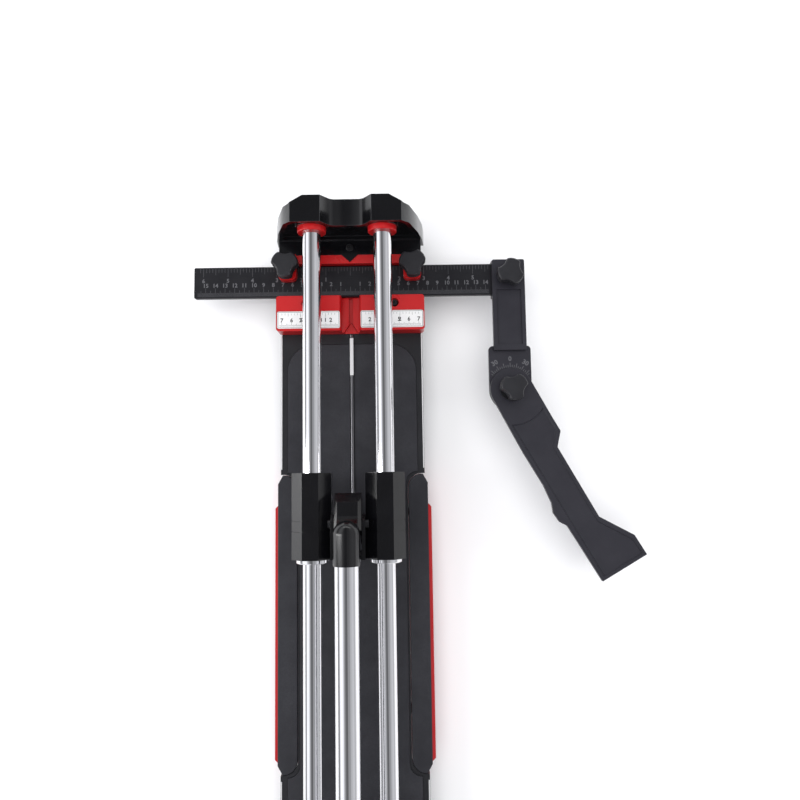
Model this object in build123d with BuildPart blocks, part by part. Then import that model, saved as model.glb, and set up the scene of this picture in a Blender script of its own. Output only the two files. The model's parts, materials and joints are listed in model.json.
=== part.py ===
"""Manual tile cutter: bed, twin guide rails, scoring carriage, fence, sliding ruler and angle arm.

Frame: millimetres, +Z up, +Y from the user towards the fence, X across the bed.
The origin is the middle of the centre foot's underside, on the floor below the middle of
the two side supports.
"""
import math
import os

from build123d import *

CUT = Mode.SUBTRACT

# --- Driving dimensions (mm)
FLOAT = 0.3                 # gap between faces that pass each other
FIT = 0.05                  # radial clearance of a shaft in its bore

# Bed
BED_TOP = 40.0              # tile surface above the floor
BED_WIDTH = 148.0
FENCE_FACE = 294.5          # where the tile stops
BED_FRONT = -339.5          # front end of the tile surface
PLATE_THICKNESS = 8.2
MAT_THICKNESS = 3.0
MAT_PROUD = 0.8             # mat above the plate
MAT_OUTER = 67.0            # half width covered by the mats
MAT_END_GAP = 11.0          # bare plate between a mat and the bed's ends
MAT_CORNER = 28.0
BAR_WIDTH = 2.6             # breaker bar
BAR_PROUD = 2.0             # breaker bar above the mats
BAR_SINK = 2.0              # breaker bar's groove below the mat pockets

# Underframe
BEAM_WIDTH = 14.0
BEAM_HEIGHT = 19.0
BEAM_CENTRE = 37.0
FOOT_RADIUS = 12.0
CENTRE_FOOT_RADIUS = 14.0
FOOT_INSET = 34.0           # corner feet from the ends of the frame
SCREW_RADIUS = 2.5

# Side supports
SUPPORT_LENGTH = 295.6
SUPPORT_WIDTH = 20.0
SUPPORT_PROUD = 3.0         # support beyond the bed's edge
SUPPORT_BEVEL = (5.0, 9.0)  # cut off its outer corners, across and along
SUPPORT_CORNER = 14.0
SUPPORT_DEPTH = 22.0
SUPPORT_GAP = 0.5
PAD_THICKNESS = 4.0
GRIP_LIP = 3.5              # red edge outside the pad
GRIP_LIP_BACK = 114.0
GRIP_LIP_FRONT = -135.0
SUPPORT_ROD_RADIUS = 6.0
SUPPORT_ROD_Y = 100.0
SUPPORT_ROD_STAGGER = 10.0
SUPPORT_ROD_HEIGHT = 22.0
SUPPORT_ROD_LENGTH = 104.8

# Rails and their end brackets
RAIL_RADIUS = 9.0
RAIL_X = 34.5
RAIL_HEIGHT = 60.0          # rail axis above the tile surface
REAR_FACE = 388.5           # face of the rear bracket that the rails enter
BRACKET_DEPTH = 26.3
BRACKET_FOOT = 15.2         # depth of the foot in front of that face
BRACKET_FOOT_TOP = 20.0     # above the tile surface
BRACKET_TOP = 80.0
BRACKET_WAIST = 67.0
BRACKET_HALF = 77.0
BRACKET_RIM = 5.0
BRACKET_RECESS = 4.0
COLLAR_RADIUS = 14.0
COLLAR_PROUD = 5.5
COLLAR_SEAT = 3.0

# Fence, scales and ruler
FENCE_HALF = 76.0
FENCE_DEPTH = 36.5
FENCE_TOP = 20.0
VALLEY_HALF = 9.5
VALLEY_FLOOR = 8.0
SLOT_HALF = 2.0
NOTCH_HALF = 7.5
NOTCH_DEPTH = 11.5
LABEL_DEPTH = 17.6
LABEL_CORNER = 1.8
LABEL_THICKNESS = 1.0
FENCE_SCREW_X = 45.4
RULER_WIDTH = 32.7
RULER_THICKNESS = 6.2
RULER_BOTTOM = 6.8
RULER_LEFT = -162.0
RULER_RIGHT = 179.0
LUG_X = 64.0
LUG_WIDTH = 18.0
LUG_REACH = 17.6
LUG_THICKNESS = 10.0

# Carriage
CARRIAGE_BACK = 70.0        # end of the housings nearer the user
CARRIAGE_LENGTH = 80.0
HOUSING_FLATS = 37.0
BUSH_RADIUS = 13.0
BUSH_LENGTH = 26.0
RING_RADIUS = 15.0
RING_THICKNESS = 4.0
BRIDGE_WALL = 3.0
BRIDGE_DEPTH = 8.0
BUMPER_THICKNESS = 3.4

# Lever with its handle, wheel and breaker foot
PIVOT_Y = 102.5
PIVOT_HEIGHT = 69.0         # above the tile surface
PIVOT_PIN_RADIUS = 4.0
HUB_HALF = 12.5
HUB_BOSS_RADIUS = 11.5
NOSE_END = 131.0
SOCKET_RADIUS = 12.3
SOCKET_END = 67.6
SOCKET_DOME = 95.0
HANDLE_HEIGHT = 96.0
HANDLE_RADIUS = 11.0
HANDLE_WALL = 2.0
HANDLE_END = -330.0
GRIP_RADIUS = 14.5
GRIP_LENGTH = 126.0
HOLDER_HALF = 4.5
WHEEL_REACH = 15.5          # wheel axle in front of the pivot
WHEEL_DROP = 46.0           # wheel axle below the pivot
WHEEL_RADIUS = 11.0
WHEEL_THICKNESS = 3.0
AXLE_RADIUS = 2.5
FOOT_PIN_BACK = 8.0         # breaker foot's pin behind the pivot
FOOT_PIN_DROP = 38.0
FOOT_PIN_RADIUS = 3.0
BREAKER_HALF = 45.0
BREAKER_DEPTH = 21.5
BREAKER_THICKNESS = 5.0
BREAKER_DROP = 12.0         # top of the breaker plate below its pin
BREAKER_PAD = 1.5

# Angle arm
LINK_X = 163.0
LINK_WIDTH = 33.4
LINK_FRONT = 272.0
LINK_BACK = 366.5
LINK_BOTTOM = 13.5
LINK_THICKNESS = 6.0
LINK_KNOB_Y = 349.0
HEAD_WIDTH = 43.0
HEAD_BOTTOM = 8.0
HEAD_THICKNESS = 5.8
HEAD_BACK = 277.0
ANGLE_PIVOT_X = 163.0
ANGLE_PIVOT_Y = 232.0
BLADE_ANGLE = 31.0          # swing outwards from straight ahead
BLADE_THICKNESS = 6.0
BLADE_HEAD_RADIUS = 21.5
BLADE_LENGTH = 210.0
BLADE_RECESS = 1.5
BLADE_RIM = 3.5
BLADE_PANEL_START = 37.0

# Knobs
KNOB_RADIUS = 13.5
KNOB_SCALLOP = 12.0
KNOB_SCALLOP_REACH = 21.9
KNOB_COLLAR_RADIUS = 6.5
KNOB_NECK = 7.0
KNOB_HEAD = 13.0
STUD_RADIUS = 4.0

# --- Heights and places worked out from them --------------------------------------------
PLATE_TOP = BED_TOP - MAT_PROUD
PLATE_BOTTOM = PLATE_TOP - PLATE_THICKNESS
POCKET_FLOOR = BED_TOP - MAT_THICKNESS
BEAM_BOTTOM = PLATE_BOTTOM - BEAM_HEIGHT
FRAME_BACK = REAR_FACE + BRACKET_DEPTH
FRONT_FACE = BED_FRONT - BRACKET_FOOT
FRAME_FRONT = FRONT_FACE - BRACKET_DEPTH
FRAME_MIDDLE = (FRAME_BACK + FRAME_FRONT) / 2
RAIL_Z = BED_TOP + RAIL_HEIGHT
SUPPORT_OUT = BED_WIDTH / 2 + SUPPORT_PROUD
SUPPORT_IN = SUPPORT_OUT - SUPPORT_WIDTH
RECESS_IN = SUPPORT_IN - SUPPORT_GAP
RECESS_HALF = SUPPORT_LENGTH / 2 + SUPPORT_GAP
FENCE_BACK = FENCE_FACE + FENCE_DEPTH
FENCE_Z = BED_TOP + FENCE_TOP
RULER_FRONT = FENCE_BACK + FLOAT
RULER_BACK = RULER_FRONT + RULER_WIDTH
RULER_Z = BED_TOP + RULER_BOTTOM
RULER_TOP_Z = RULER_Z + RULER_THICKNESS
TRIM_FRONT = RULER_BACK + FLOAT
TRIM_BACK = REAR_FACE - BRACKET_FOOT
CARRIAGE_FRONT = CARRIAGE_BACK + CARRIAGE_LENGTH
HOUSING_IN = RAIL_X - HOUSING_FLATS / 2
PIVOT_Z = BED_TOP + PIVOT_HEIGHT
HANDLE_Z = BED_TOP + HANDLE_HEIGHT
WHEEL_Y = PIVOT_Y + WHEEL_REACH
WHEEL_Z = PIVOT_Z - WHEEL_DROP
FOOT_PIN_Y = PIVOT_Y - FOOT_PIN_BACK
FOOT_PIN_Z = PIVOT_Z - FOOT_PIN_DROP
HUB_BOTTOM_Z = PIVOT_Z - HUB_BOSS_RADIUS
LINK_Z = BED_TOP + LINK_BOTTOM
HEAD_Z = BED_TOP + HEAD_BOTTOM
BLADE_Z = HEAD_Z + HEAD_THICKNESS + FLOAT
SIDES = {"left": -1, "right": 1}

os.makedirs("parts", exist_ok=True)


# --- Helpers ----------------------------------------------------------------------------
def block(x_span, y_span, z_span, mode=Mode.ADD):
    """A box between two values along each axis."""
    spans = (x_span, y_span, z_span)
    with Locations(tuple(sum(span) / 2 for span in spans)):
        Box(*(abs(span[1] - span[0]) for span in spans), mode=mode)


def rod_x(x_span, y, z, radius, mode=Mode.ADD):
    """A cylinder along X."""
    with Locations(Location((sum(x_span) / 2, y, z), (0, 90, 0))):
        Cylinder(radius, abs(x_span[1] - x_span[0]), mode=mode)


def rod_y(x, y_span, z, radius, mode=Mode.ADD):
    """A cylinder along Y."""
    with Locations(Location((x, sum(y_span) / 2, z), (90, 0, 0))):
        Cylinder(radius, abs(y_span[1] - y_span[0]), mode=mode)


def rod_z(x, y, z_span, radius, mode=Mode.ADD):
    """A cylinder along Z."""
    with Locations((x, y, sum(z_span) / 2)):
        Cylinder(radius, abs(z_span[1] - z_span[0]), mode=mode)


def side_plane(x):
    """The plane across X at x, with Y to its right and Z up."""
    return Plane.YZ.offset(x)


def front_plane(y):
    """The plane across Y at y, with X to its right and Z up; it faces the user."""
    return Plane.XZ.offset(-y)


def finish(piece, name):
    """Name a finished piece and write it out."""
    piece.part.label = name
    export_step(piece.part, f"parts/{name}.step")


def button_screw(x, y, seat, length, head_radius=4.0, head_height=2.4):
    """A button-head screw pointing down, its head standing on seat."""
    rod_z(x, y, (seat - length, seat), SCREW_RADIUS)
    with Locations((x, y, seat + head_height / 2)):
        Cone(head_radius, head_radius * 0.7, head_height)
    with BuildSketch(Plane.XY.offset(seat + head_height)) as socket:
        with Locations((x, y)):
            RegularPolygon(head_radius * 0.42, 6)
    extrude(socket.sketch, amount=-head_height * 0.7, mode=CUT)


def knob(x, y, seat, tip, turn=0.0):
    """A three-lobed clamping knob with a collar at seat and a stud down to tip."""
    head_low = seat + KNOB_NECK
    with BuildSketch(Plane.XY.offset(head_low)) as head:
        with Locations(Location((x, y, 0), (0, 0, turn))):
            Circle(KNOB_RADIUS)
        for number in range(3):
            angle = math.radians(turn + 120 * number)
            reach = KNOB_SCALLOP_REACH
            with Locations((x + reach * math.cos(angle), y + reach * math.sin(angle))):
                Circle(KNOB_SCALLOP, mode=CUT)
        fillet(head.vertices(), KNOB_RADIUS * 0.17)
    head_solid = extrude(head.sketch, amount=KNOB_HEAD)
    fillet(head_solid.edges().group_by(Axis.Z)[-1], KNOB_RADIUS * 0.14)
    with Locations((x, y, seat + KNOB_NECK * 0.7)):
        Cone(KNOB_COLLAR_RADIUS, KNOB_RADIUS * 0.6, KNOB_NECK * 0.6)
    rod_z(x, y, (seat, seat + KNOB_NECK * 0.4), KNOB_COLLAR_RADIUS)
    rod_z(x, y, (tip, seat), STUD_RADIUS)


# --- Bed --------------------------------------------------------------------------------
def recess_sketch(side, margin, height, corner):
    """The cut-out of the bed that a side support lies in, grown by margin."""
    inner, outer = RECESS_IN - margin, BED_WIDTH / 2 + 10
    with BuildSketch(Plane.XY.offset(height)) as outline:
        with Locations((side * (inner + outer) / 2, 0)):
            Rectangle(outer - inner, 2 * (RECESS_HALF + margin))
        inner_corners = outline.vertices().group_by(Axis.X)[0 if side > 0 else -1]
        fillet(inner_corners, corner)
    return outline.sketch


def mat_solid(side, margin, z_span, mode=Mode.ADD):
    """One bed mat between the breaker bar and the bed's edge, grown by margin."""
    inner = BAR_WIDTH / 2 + 0.7 - margin
    outer = MAT_OUTER + margin
    back = FENCE_FACE - MAT_END_GAP + margin
    front = BED_FRONT + MAT_END_GAP - margin
    edge = RECESS_IN - 2.0 + margin
    with BuildSketch(Plane.XY.offset(z_span[0])) as outline:
        with Locations((side * (inner + outer) / 2, (back + front) / 2)):
            Rectangle(outer - inner, back - front)
        fillet(outline.vertices().group_by(Axis.X)[-1 if side > 0 else 0], MAT_CORNER + margin)
        half = RECESS_HALF + 2.0 - margin
        with Locations((side * (edge + outer + 5) / 2, 0)):
            Rectangle(outer + 5 - edge, 2 * half, mode=CUT)
        near = outline.vertices().filter_by_position(Axis.Y, -half - 1, half + 1)
        notch_corner = min(SUPPORT_CORNER, outer - edge - 0.5)
        fillet(near.group_by(Axis.X)[0 if side > 0 else -1], notch_corner)
    extrude(outline.sketch, amount=z_span[1] - z_span[0], mode=mode)


with BuildPart() as base_plate:
    with BuildSketch(Plane.XY.offset(PLATE_BOTTOM)):
        with Locations((0, FRAME_MIDDLE)):
            RectangleRounded(BED_WIDTH, FRAME_BACK - FRAME_FRONT, 5)
    extrude(amount=PLATE_THICKNESS)
    for side in SIDES.values():
        extrude(recess_sketch(side, 0, PLATE_BOTTOM, SUPPORT_CORNER + SUPPORT_GAP), amount=PLATE_THICKNESS,
                mode=CUT)
        mat_solid(side, FLOAT, (POCKET_FLOOR, PLATE_TOP), mode=CUT)
    bar_half = BAR_WIDTH / 2 + FIT
    block((-bar_half, bar_half), (BED_FRONT + 4, FENCE_FACE - 1),
          (POCKET_FLOOR - BAR_SINK, PLATE_TOP + 1), mode=CUT)
finish(base_plate, "base_plate")

for name, side in SIDES.items():
    with BuildPart() as bed_mat:
        mat_solid(side, 0, (POCKET_FLOOR, BED_TOP))
    finish(bed_mat, f"{name}_bed_mat")

with BuildPart() as breaker_bar:
    block((-BAR_WIDTH / 2, BAR_WIDTH / 2), (BED_FRONT + 4 + FLOAT, FENCE_FACE - 1 - FLOAT),
          (POCKET_FLOOR - BAR_SINK, BED_TOP + BAR_PROUD))
    chamfer(breaker_bar.edges().filter_by(Axis.Y).group_by(Axis.Z)[-1], BAR_WIDTH * 0.3)
finish(breaker_bar, "breaker_bar")

# Every support rod as (side, y): the two sides' rods are staggered and pass each other
SUPPORT_RODS = [(side, end * SUPPORT_ROD_Y + side * SUPPORT_ROD_STAGGER)
                for side in SIDES.values() for end in (-1, 1)]

for name, side in SIDES.items():
    with BuildPart() as beam:
        inner, outer = side * (BEAM_CENTRE - BEAM_WIDTH / 2), side * (BEAM_CENTRE + BEAM_WIDTH / 2)
        block((inner, outer), (FRAME_FRONT + 6, FRAME_BACK - 6), (BEAM_BOTTOM, PLATE_BOTTOM))
        for _, rod_at in SUPPORT_RODS:
            rod_x((inner - side, outer + side), rod_at, SUPPORT_ROD_HEIGHT, SUPPORT_ROD_RADIUS + FIT,
                  mode=CUT)
    finish(beam, f"{name}_beam")

with BuildPart() as crossmember:
    inner = BEAM_CENTRE - BEAM_WIDTH / 2
    block((-inner, inner), (-CENTRE_FOOT_RADIUS, CENTRE_FOOT_RADIUS), (BEAM_BOTTOM, PLATE_BOTTOM))
finish(crossmember, "crossmember")

with BuildPart() as centre_foot:
    with Locations((0, 0, BEAM_BOTTOM / 2)):
        Cone(CENTRE_FOOT_RADIUS * 0.92, CENTRE_FOOT_RADIUS, BEAM_BOTTOM)
finish(centre_foot, "centre_foot")

CORNERS = [(side * BEAM_CENTRE, y) for side in SIDES.values()
           for y in (FRAME_FRONT + FOOT_INSET, FRAME_BACK - FOOT_INSET)]

with BuildPart() as corner_feet:
    for x, y in CORNERS:
        with Locations((x, y, BEAM_BOTTOM / 2)):
            Cone(FOOT_RADIUS * 0.9, FOOT_RADIUS, BEAM_BOTTOM)
        rod_z(x, y, (0, BEAM_BOTTOM), SCREW_RADIUS + FIT, mode=CUT)
        rod_z(x, y, (0, BEAM_BOTTOM / 2), SCREW_RADIUS * 2 + FIT, mode=CUT)
finish(corner_feet, "corner_feet")

with BuildPart() as foot_screws:
    for x, y in CORNERS:
        rod_z(x, y, (BEAM_BOTTOM / 2, BEAM_BOTTOM), SCREW_RADIUS)
        rod_z(x, y, (BEAM_BOTTOM / 2 - 3, BEAM_BOTTOM / 2), SCREW_RADIUS * 2)
finish(foot_screws, "foot_screws")

# --- Side supports, which slide outwards on two rods each -------------------------------
SUPPORT_TOP = BED_TOP - PAD_THICKNESS
SUPPORT_BOTTOM = SUPPORT_TOP - SUPPORT_DEPTH


def support_outline(side, height):
    """The plan of a side support's top: round inner corners, bevelled outer ones."""
    across, along = SUPPORT_BEVEL
    half = SUPPORT_LENGTH / 2
    with BuildSketch(Plane.XY.offset(height)) as outline:
        with BuildLine():
            Polyline(
                (side * SUPPORT_IN, -half), (side * (SUPPORT_OUT - across), -half),
                (side * SUPPORT_OUT, along - half), (side * SUPPORT_OUT, half - along),
                (side * (SUPPORT_OUT - across), half), (side * SUPPORT_IN, half), close=True,
            )
        make_face()
        by_x = outline.vertices().group_by(Axis.X)
        fillet(by_x[0 if side > 0 else -1], SUPPORT_CORNER)
    return outline.sketch


for name, side in SIDES.items():
    outer = SUPPORT_OUT
    with BuildPart() as support_frame:
        extrude(support_outline(side, SUPPORT_BOTTOM), amount=SUPPORT_DEPTH)
        with BuildSketch(Plane.XY.offset(SUPPORT_BOTTOM + 4)):
            with BuildLine():
                Polyline(
                    (side * (outer - 2), GRIP_LIP_FRONT - GRIP_LIP),
                    (side * outer, GRIP_LIP_FRONT - GRIP_LIP),
                    (side * (outer + GRIP_LIP), GRIP_LIP_FRONT),
                    (side * (outer + GRIP_LIP), GRIP_LIP_BACK),
                    (side * outer, GRIP_LIP_BACK + GRIP_LIP),
                    (side * (outer - 2), GRIP_LIP_BACK + GRIP_LIP),
                    close=True,
                )
            make_face()
        extrude(amount=SUPPORT_DEPTH - 6)
        for rod_side, rod_at in SUPPORT_RODS:
            if rod_side == side:
                rod_x((side * (SUPPORT_IN - 1), side * (SUPPORT_IN + 12)), rod_at, SUPPORT_ROD_HEIGHT,
                      SUPPORT_ROD_RADIUS, mode=CUT)
    finish(support_frame, f"{name}_support_frame")

    with BuildPart() as support_pad:
        extrude(support_outline(side, SUPPORT_TOP), amount=PAD_THICKNESS)
        chamfer(support_pad.edges().group_by(Axis.Z)[-1], 0.8)
    finish(support_pad, f"{name}_support_pad")

    with BuildPart() as support_rods:
        for rod_side, rod_at in SUPPORT_RODS:
            if rod_side == side:
                rod_x((side * (SUPPORT_IN + 12), side * (SUPPORT_IN + 12 - SUPPORT_ROD_LENGTH)), rod_at,
                      SUPPORT_ROD_HEIGHT, SUPPORT_ROD_RADIUS)
    finish(support_rods, f"{name}_support_rods")

# --- Rails and end brackets -------------------------------------------------------------
HOOD = [
    (BRACKET_HALF, PLATE_TOP),
    (BRACKET_HALF - 2, BED_TOP + 20),
    (BRACKET_HALF - 7, BED_TOP + 44),
    (BRACKET_HALF - 16, BED_TOP + BRACKET_TOP - 8),
    (BRACKET_HALF - 23.5, BED_TOP + BRACKET_TOP),
    (RAIL_X - 10, BED_TOP + BRACKET_TOP),
    (16.5, BED_TOP + BRACKET_WAIST + 2),
    (12.5, BED_TOP + BRACKET_WAIST),
]
RAIL_END_WALL = 6.0


def hood_face(y):
    """The bracket's outline, seen from the front, on the plane across Y at y."""
    with BuildSketch(front_plane(y)) as outline:
        with BuildLine():
            Polyline(*HOOD, *((-x, z) for x, z in reversed(HOOD)), close=True)
        make_face()
    return outline.sketch


def bracket(face, inward):
    """An end bracket. The rails enter its face at y = face; inward is -1 or 1 towards the bed."""
    outer = face - inward * BRACKET_DEPTH
    extrude(hood_face(max(face, outer)), amount=BRACKET_DEPTH)
    half = BED_WIDTH / 2 - 1
    block((-half, half), (face, face + inward * BRACKET_FOOT), (PLATE_TOP, BED_TOP + BRACKET_FOOT_TOP))
    # Outer back corners slope away
    for side in SIDES.values():
        with BuildSketch(Plane.XY.offset(PLATE_TOP)) as corner:
            with BuildLine():
                Polyline(
                    (side * (RAIL_X + 7), outer - inward),
                    (side * (RAIL_X + 7), outer),
                    (side * (RAIL_X + 21), outer + inward * 8),
                    (side * (BRACKET_HALF + 3), outer + inward * 11),
                    (side * (BRACKET_HALF + 3), outer - inward),
                    close=True,
                )
            make_face()
        extrude(corner.sketch, amount=BRACKET_TOP + 10, mode=CUT)
    # Recessed front inside a rim, with a round boss left for each rail
    with BuildSketch(front_plane(max(face, face - inward * BRACKET_RECESS))) as recess:
        with BuildLine():
            Polyline(*HOOD, *((-x, z) for x, z in reversed(HOOD)), close=True)
        make_face()
        offset(amount=-BRACKET_RIM, kind=Kind.INTERSECTION, mode=Mode.REPLACE)
        with Locations((0, BED_TOP)):
            Rectangle(4 * BRACKET_HALF, 2 * BRACKET_FOOT_TOP + 6, mode=CUT)
        with Locations((-RAIL_X, RAIL_Z), (RAIL_X, RAIL_Z)):
            Circle(COLLAR_RADIUS + 2, mode=CUT)
    extrude(recess.sketch, amount=BRACKET_RECESS, mode=CUT)
    # Pocket in the back
    block((-14, 14), (outer - inward, outer + inward * BRACKET_DEPTH * 0.45),
          (BED_TOP + 8, BED_TOP + BRACKET_WAIST - 8), mode=CUT)
    for x in (-RAIL_X, RAIL_X):
        rod_y(x, (face + inward, outer + inward * RAIL_END_WALL), RAIL_Z, RAIL_RADIUS + FIT, mode=CUT)
        rod_y(x, (face + inward, face - inward * COLLAR_SEAT), RAIL_Z, COLLAR_RADIUS + FIT, mode=CUT)
        rod_y(x, (face, outer - inward), RAIL_Z, SCREW_RADIUS + 1.5 + FIT, mode=CUT)


with BuildPart() as rear_bracket:
    bracket(REAR_FACE, -1)
finish(rear_bracket, "rear_bracket")

with BuildPart() as front_bracket:
    bracket(FRONT_FACE, 1)
finish(front_bracket, "front_bracket")

RAIL_ENDS = (FRAME_FRONT + RAIL_END_WALL, FRAME_BACK - RAIL_END_WALL)
for name, side in SIDES.items():
    with BuildPart() as rail:
        rod_y(side * RAIL_X, RAIL_ENDS, RAIL_Z, RAIL_RADIUS)
        for end, inward in zip(RAIL_ENDS, (1, -1)):
            rod_y(side * RAIL_X, (end, end + inward * 20), RAIL_Z, SCREW_RADIUS + 1.5 + FIT, mode=CUT)
    finish(rail, f"{name}_rail")

with BuildPart() as rail_screws:
    for x in (-RAIL_X, RAIL_X):
        for outer, inward in ((FRAME_BACK, -1), (FRAME_FRONT, 1)):
            rod_y(x, (outer, outer + inward * 22), RAIL_Z, SCREW_RADIUS + 1.5)
            rod_y(x, (outer, outer - inward * 4), RAIL_Z, RAIL_RADIUS * 0.8)
            with BuildSketch(front_plane(outer - inward * 4)):
                with Locations((x, RAIL_Z)):
                    RegularPolygon(3, 6)
            extrude(amount=3, both=True, mode=CUT)
finish(rail_screws, "rail_screws")

for name, face, inward in (("rear", REAR_FACE, -1), ("front", FRONT_FACE, 1)):
    with BuildPart() as collars:
        for x in (-RAIL_X, RAIL_X):
            y_span = (face - inward * COLLAR_SEAT, face + inward * COLLAR_PROUD)
            rod_y(x, y_span, RAIL_Z, COLLAR_RADIUS)
            rod_y(x, y_span, RAIL_Z, RAIL_RADIUS + FIT, mode=CUT)
        rims = collars.edges().filter_by(GeomType.CIRCLE).sort_by(lambda edge: edge.radius)[-4:]
        fillet(rims.group_by(Axis.Y)[0 if inward < 0 else -1], 1.2)
    finish(collars, f"{name}_rail_collars")

with BuildPart() as bracket_screws:
    for side in SIDES.values():
        for y in (REAR_FACE + BRACKET_DEPTH * 0.3, FRONT_FACE - BRACKET_DEPTH * 0.3):
            rod_z(side * (BED_WIDTH / 2 - 12), y, (PLATE_BOTTOM - 3, PLATE_BOTTOM), SCREW_RADIUS * 2)
finish(bracket_screws, "bracket_screws")

# --- Fence with its scales --------------------------------------------------------------
LABEL_FACE = FENCE_FACE + 2.6
FENCE_SCREW_Y = FENCE_BACK - 8
LABELS = {"left": (-FENCE_HALF + 1.2, -VALLEY_HALF - 1.2), "right": (VALLEY_HALF + 1.2, FENCE_HALF - 1.2)}

with BuildPart() as fence:
    block((-FENCE_HALF, FENCE_HALF), (FENCE_FACE, FENCE_BACK), (PLATE_TOP, FENCE_Z))
    fillet(fence.edges().filter_by(Axis.Z), 3)
    # Valley that the wheel runs out through
    with BuildSketch(front_plane(FENCE_BACK)):
        with BuildLine():
            Polyline(
                (-VALLEY_HALF, BED_TOP + VALLEY_FLOOR),
                (VALLEY_HALF, BED_TOP + VALLEY_FLOOR),
                (VALLEY_HALF, FENCE_Z - 2),
                (VALLEY_HALF + 2, FENCE_Z + 1),
                (-VALLEY_HALF - 2, FENCE_Z + 1),
                (-VALLEY_HALF, FENCE_Z - 2),
                close=True,
            )
        make_face()
    extrude(amount=FENCE_DEPTH, mode=CUT)
    block((-SLOT_HALF, SLOT_HALF), (FENCE_FACE, FENCE_BACK), (BED_TOP + 3, FENCE_Z), mode=CUT)
    with BuildSketch(Plane.XY.offset(BED_TOP + 1)):
        with BuildLine():
            Polyline((-NOTCH_HALF, FENCE_FACE), (0, FENCE_FACE + NOTCH_DEPTH), (NOTCH_HALF, FENCE_FACE),
                     close=True)
        make_face()
    extrude(amount=VALLEY_FLOOR, mode=CUT)
    for low, high in LABELS.values():
        block((low - FLOAT, high + FLOAT), (LABEL_FACE - FLOAT, LABEL_FACE + LABEL_DEPTH + FLOAT),
              (FENCE_Z - LABEL_THICKNESS, FENCE_Z), mode=CUT)
    for side in SIDES.values():
        rod_z(side * FENCE_SCREW_X, FENCE_SCREW_Y, (PLATE_TOP, FENCE_Z), SCREW_RADIUS + FIT, mode=CUT)
        rod_z(side * FENCE_SCREW_X, FENCE_SCREW_Y, (FENCE_Z - 3, FENCE_Z), 4.6, mode=CUT)
    # Shelf that the ruler slides on
    block((-BED_WIDTH / 2, BED_WIDTH / 2), (FENCE_BACK, TRIM_FRONT), (PLATE_TOP, RULER_Z - FLOAT))
finish(fence, "fence")

for name, (low, high) in LABELS.items():
    with BuildPart() as scale_plate:
        block((low, high), (LABEL_FACE, LABEL_FACE + LABEL_DEPTH), (FENCE_Z - LABEL_THICKNESS, FENCE_Z))
        fillet(scale_plate.edges().filter_by(Axis.Z), LABEL_CORNER)
    finish(scale_plate, f"{name}_scale_plate")

POINTER_THICKNESS = 1.5
POINTER_SCREW_Y = REAR_FACE - 8

with BuildPart() as button_screws:
    for side in SIDES.values():
        button_screw(side * FENCE_SCREW_X, FENCE_SCREW_Y, FENCE_Z - 3, FENCE_Z - 3 - PLATE_TOP)
    button_screw(0, POINTER_SCREW_Y, FENCE_Z + POINTER_THICKNESS, POINTER_THICKNESS)
finish(button_screws, "button_screws")

# --- Ruler keeper, pointer and ruler ----------------------------------------------------
LUG_Z = RULER_TOP_Z + 1.0
LUG_KNOB_Y = TRIM_FRONT - LUG_REACH * 0.31

with BuildPart() as ruler_keeper:
    half = BED_WIDTH / 2 - 1
    block((-half, half), (TRIM_FRONT, TRIM_BACK), (PLATE_TOP, FENCE_Z))
    for side in SIDES.values():
        block(
            (side * LUG_X - LUG_WIDTH / 2, side * LUG_X + LUG_WIDTH / 2),
            (TRIM_FRONT - LUG_REACH, TRIM_BACK),
            (LUG_Z, LUG_Z + LUG_THICKNESS),
        )
    fillet(ruler_keeper.edges().filter_by(Axis.Z).group_by(Axis.Y)[0], 5)
    for side in SIDES.values():
        rod_z(side * LUG_X, LUG_KNOB_Y, (LUG_Z - 1, LUG_Z + LUG_THICKNESS + 1), STUD_RADIUS + FIT,
              mode=CUT)
finish(ruler_keeper, "ruler_keeper")

with BuildPart() as pointer:
    with BuildSketch(Plane.XY.offset(FENCE_Z)):
        with BuildLine():
            Polyline(
                (-9.2, REAR_FACE - 3), (-9.2, TRIM_BACK + 0.5), (0, TRIM_FRONT + 1.2),
                (9.2, TRIM_BACK + 0.5), (9.2, REAR_FACE - 3), close=True,
            )
        make_face()
    extrude(amount=POINTER_THICKNESS)
    rod_z(0, POINTER_SCREW_Y, (FENCE_Z, FENCE_Z + 2), SCREW_RADIUS + FIT, mode=CUT)
finish(pointer, "pointer")

with BuildPart() as ruler_bar:
    block((RULER_LEFT, RULER_RIGHT), (RULER_FRONT, RULER_BACK), (RULER_Z, RULER_TOP_Z))
    chamfer(ruler_bar.edges().filter_by(Axis.X).group_by(Axis.Z)[-1], 1)
    fillet(ruler_bar.edges().filter_by(Axis.Z), 1.5)
finish(ruler_bar, "ruler_bar")

for name, side in SIDES.items():
    with BuildPart() as ruler_knob:
        knob(
            side * LUG_X, LUG_KNOB_Y, LUG_Z + LUG_THICKNESS + FLOAT, RULER_TOP_Z + FLOAT,
            turn=93 + 5 * side,
        )
    finish(ruler_knob, f"{name}_ruler_knob")

# --- Carriage ---------------------------------------------------------------------------
BRIDGE_TOP = BED_TOP + HANDLE_HEIGHT - SOCKET_RADIUS - FLOAT - BUMPER_THICKNESS
BRIDGE_BOTTOM = BED_TOP + 51
PIN_SEAT = 3.0
BUSH_SPANS = [(CARRIAGE_BACK, CARRIAGE_BACK + BUSH_LENGTH), (CARRIAGE_FRONT - BUSH_LENGTH, CARRIAGE_FRONT)]
SCREW_SEATS = [(CARRIAGE_BACK + 16, BRIDGE_BOTTOM + 5), (CARRIAGE_BACK + 16, BRIDGE_BOTTOM + 14)]

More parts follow.
